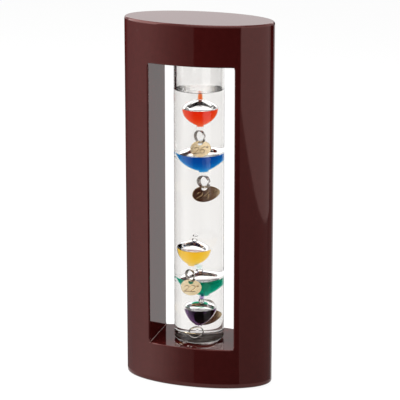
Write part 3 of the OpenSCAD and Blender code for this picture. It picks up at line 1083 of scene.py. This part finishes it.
def glowing(name, paint, rough):
    """A matt material with a white glow: itself and its shader."""
    material = bpy.data.materials.new(name)
    material.use_nodes = True
    shader = material.node_tree.nodes["Principled BSDF"]
    shader.inputs["Base Color"].default_value = (paint, paint, paint, 1)
    shader.inputs["Roughness"].default_value = rough
    shader.inputs["Specular IOR Level"].default_value = 0.0
    shader.inputs["Emission Color"].default_value = (1, 1, 1, 1)
    return material, shader


def gloss_card(name, corners, faces, levels):
    """A card that only the gloss of the lacquer sees, with a level of light at each corner."""
    mesh = bpy.data.meshes.new(name)
    mesh.from_pydata(corners, [], faces)
    shade = mesh.attributes.new("level", "FLOAT", "POINT")
    for item, level in zip(shade.data, levels):
        item.value = level
    card = new_object(name, mesh)
    material, shader = glowing(name, 0, 0.5)
    given = material.node_tree.nodes.new("ShaderNodeAttribute")
    given.attribute_name = "level"
    material.node_tree.links.new(given.outputs["Fac"], shader.inputs["Emission Strength"])
    mesh.materials.append(material)
    card.visible_camera = card.visible_diffuse = False
    card.visible_transmission = card.visible_shadow = False


def mirror_start(way):
    """Where the oval mirrors light from a way, in degrees from the front to the right."""
    a = math.radians((way + view_turn) / 2)
    x, y = half_w ** 2 * math.sin(a), -half_d ** 2 * math.cos(a)
    size = math.sqrt((half_w * math.sin(a)) ** 2 + (half_d * math.cos(a)) ** 2)
    return Vector((x / size, y / size, card_z))


def floor_fan(name, stations):
    """A fan on the floor for the lacquer to mirror: for each way its near and its far level."""
    corners, levels = [], []
    for (way, close, distant), (other, close2, distant2) in zip(stations, stations[1:]):
        steps = max(1, round((other - way) / fan_step))
        for i in range(steps + 1):
            share = i / steps
            turn = way + (other - way) * share
            a = math.radians(turn)
            out = Vector((math.sin(a), -math.cos(a), 0))
            here = close + (close2 - close) * share
            away = distant + (distant2 - distant) * share
            for reach, level in ((fan_near, here), (fan_far, away), (fan_end, away)):
                corners.append(mirror_start(turn) + out * reach)
                levels.append(level)
    faces = [(k, k + 1, k + 4, k + 3) for i in range(0, len(corners) - 3, 3) for k in (i, i + 1)]
    gloss_card(name, [tuple(corner) for corner in corners], faces, levels)


def upright_card(name, x_from, x_to, y, low, high, level):
    """A card that stands square to the front, of one even level."""
    gloss_card(name, [(x_from, y, low), (x_to, y, low), (x_to, y, high), (x_from, y, high)],
               [(0, 1, 2, 3)], [level] * 4)


def seen_white(tree):
    """Light Path's camera, glossy and transmission rays, added up to 1."""
    path = tree.nodes.new("ShaderNodeLightPath")
    total = path.outputs["Is Camera Ray"]
    for name in ("Is Glossy Ray", "Is Transmission Ray"):
        add = tree.nodes.new("ShaderNodeMath")
        add.operation = "ADD"
        add.use_clamp = True
        tree.links.new(total, add.inputs[0])
        tree.links.new(path.outputs[name], add.inputs[1])
        total = add.outputs["Value"]
    return total


def build_floor():
    """A plain pale floor that takes the object's shadow."""
    mesh = bpy.data.meshes.new("floor")
    corners = [(x * floor_half, y * floor_half, 0) for x, y in ((-1, -1), (1, -1), (1, 1), (-1, 1))]
    mesh.from_pydata(corners, [], [(0, 1, 2, 3)])
    floor = new_object("floor", mesh)
    floor.location.z = floor_z
    material, shader = glowing("pale_floor", floor_paint, 1.0)
    tree = material.node_tree
    glow = tree.nodes.new("ShaderNodeMath")
    glow.operation = "MULTIPLY"
    glow.inputs[1].default_value = floor_glow
    tree.links.new(seen_white(tree), glow.inputs[0])
    tree.links.new(glow.outputs["Value"], shader.inputs["Emission Strength"])
    mesh.materials.append(material)


def build_world():
    """A grey room that is white where it is seen directly, mirrored or through glass."""
    world = bpy.data.worlds.new("studio")
    bpy.context.scene.world = world
    world.use_nodes = True
    tree = world.node_tree
    mix = tree.nodes.new("ShaderNodeMix")
    mix.data_type = "RGBA"
    mix.inputs["A"].default_value = (room_grey, room_grey, room_grey, 1)
    mix.inputs["B"].default_value = (1, 1, 1, 1)
    tree.links.new(seen_white(tree), mix.inputs["Factor"])
    tree.links.new(mix.outputs["Result"], tree.nodes["Background"].inputs["Color"])


def softbox(name, place, aim, width, height, level):
    """A flat lamp of an even level, where 1 is white paper."""
    lamp = bpy.data.lights.new(name, "AREA")
    lamp.shape = "RECTANGLE"
    lamp.size, lamp.size_y = width, height
    lamp.energy = level * math.pi * width * height
    made = new_object(name, lamp)
    made.location = place
    made.rotation_euler = (Vector(aim) - Vector(place)).to_track_quat("-Z", "Y").to_euler()
    made.visible_camera = False


def build_camera():
    """The camera of the photograph."""
    data = bpy.data.cameras.new("camera")
    data.lens = lens_mm
    data.sensor_width = sensor_mm
    camera = new_object("camera", data)
    camera.location = camera_place
    camera.rotation_euler = (camera_aim - camera_place).to_track_quat("-Z", "Y").to_euler()
    bpy.context.scene.camera = camera


def build_lamps():
    """Four softboxes round and over the frame."""
    softbox("right_softbox", place=(0.39, -0.25, 0.25), aim=(0, -0.25, 0.25),
            width=0.8, height=0.5, level=0.95)
    softbox("left_softbox", place=(-0.7, -0.24, 0.5), aim=(0, -0.02, 0.25),
            width=0.9, height=0.85, level=4.0)
    softbox("back_softbox", place=(0.0, 0.62, 0.7), aim=(0, 0, 0.2),
            width=1.4, height=0.6, level=1.4)
    softbox("top_softbox", place=(0.0, -0.05, 1.05), aim=(0, 0, 0.2),
            width=0.4, height=0.3, level=8.0)


def build_fans():
    """What the lacquer's sides mirror from the ground, all round the frame."""
    floor_fan("left_back_gloss", [(-172, 0, 0), (-142, 0.1, 0), (-120, 0.3, 0.02)])
    floor_fan("left_gloss", [(-120, 0.3, 0.02), (-108, 0.42, 0.2), (-92, 0.62, 0.45),
                             (-70, 1.1, 0.86), (-54, 1.4, 1.05), (-41, 1.25, 0.88),
                             (-31.8, 0.86, 0.66), (-23.6, 0.48, 0.47), (-17.5, 0.33, 0.35),
                             (-12.9, 0.25, 0.36)])
    floor_fan("front_gloss", [(-12.85, 0.08, 0), (28.8, 0.08, 0)])
    floor_fan("right_gloss", [(28.9, 0.42, 0.42), (103.5, 0.42, 0.42)])
    floor_fan("right_back_gloss", [(103.6, 0.36, 0), (150, 0.36, 0)])


def build_cards():
    """What the window's inner wall, the sill and the top mirror."""
    back = Vector((math.sin(math.radians(view_turn)), math.cos(math.radians(view_turn)), 0))
    side = Vector((back.y, -back.x, 0))
    start = Vector((-window, 0, card_z))
    strip = [start + back * reach + side * wide
             for reach in (strip_near, strip_far) for wide in (-strip_half, strip_half)]
    gloss_card("inner_wall_gloss", [tuple(corner) for corner in strip], [(0, 1, 3, 2)],
               [strip_level] * 4)
    upright_card("sill_gloss", x_from=-0.5, x_to=0.03, y=0.6, low=0.1, high=0.29, level=0.8)
    upright_card("sill_corner_gloss", x_from=0.06, x_to=0.34, y=0.58, low=0.11, high=0.42,
                 level=0.0)
    upright_card("top_gloss", x_from=-1.6, x_to=0.9, y=1.5, low=0.3, high=1.3, level=1.22)
    upright_card("rim_gloss", x_from=-0.4, x_to=0.7, y=-1.0, low=0.8, high=1.15, level=5.0)


# the whole
build_wood()
build_seam()
build_tube()
build_pad()
build_liquid()
for number in FLOATS:
    build_bulb(number)
    build_fill(number)
    build_ring(number)
    build_tag(number)

for node, material in (("post_dowels", plain_beech()), ("base_felt", pressed_felt()),
                       ("tube_collar", collar_foam())):
    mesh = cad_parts[node].data
    mesh.materials.clear()
    mesh.materials.append(material)

build_floor()
build_world()
build_lamps()
build_fans()
build_cards()
build_camera()

scene = bpy.context.scene
scene.view_settings.view_transform = "Standard"
scene.cycles.max_bounces = 40
scene.cycles.transmission_bounces = 40
scene.cycles.glossy_bounces = 12
scene.cycles.diffuse_bounces = 4
scene.cycles.transparent_max_bounces = 16
